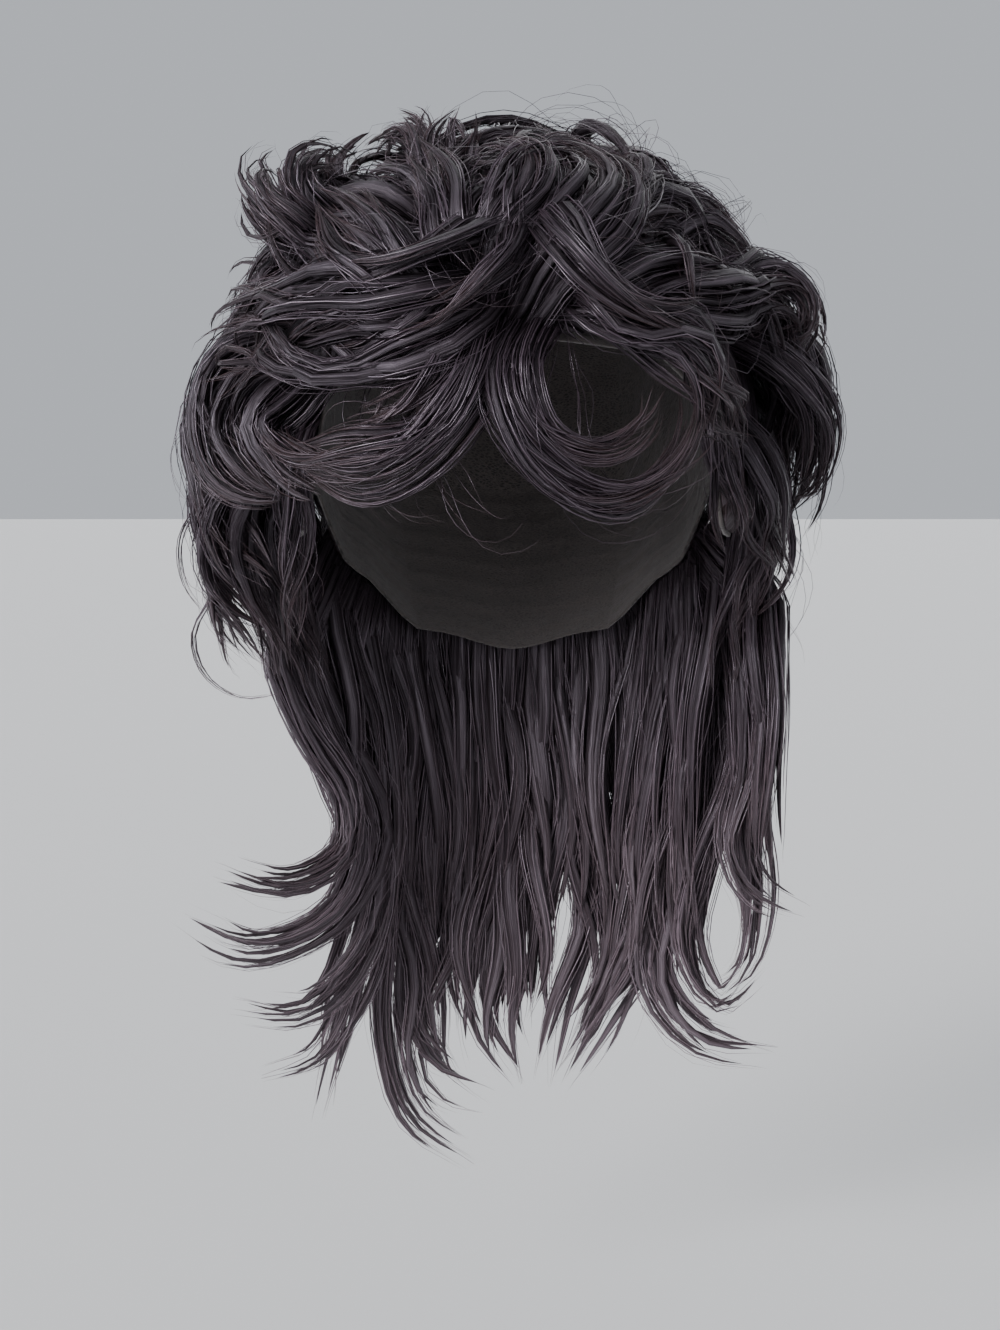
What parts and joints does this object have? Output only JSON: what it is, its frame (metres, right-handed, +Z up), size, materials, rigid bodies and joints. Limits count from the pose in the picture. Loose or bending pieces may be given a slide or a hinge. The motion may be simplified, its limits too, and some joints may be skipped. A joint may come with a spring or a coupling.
{
  "type": "mullet wig",
  "caption": "Dark brown mullet wig: thin stretch cap with tousled curls on the crown, a swept fringe, wavy sides and long flipped locks at the nape.",
  "frame": {"origin": "inside of the cap at the top of the head, where the wig rests on its wearer", "axes": "+Z up, -Y the way the face opening looks, +X to the right as seen from the front"},
  "size_m": [0.2462, 0.2447, 0.4043],
  "materials": {
    "cap_net": "matt stretch net with sewn bands",
    "hair": "silky synthetic fibre with soft streaks of shine"
  },
  "bodies": {
    "root": {"cap": "cap_net", "crown": "hair", "fringe_ring": "hair", "fringe_sweep": "hair", "side_left": "hair", "side_right": "hair", "back_waves": "hair", "tail_left": "hair", "tail_back": "hair", "tail_right": "hair"}
  },
  "joints": []
}
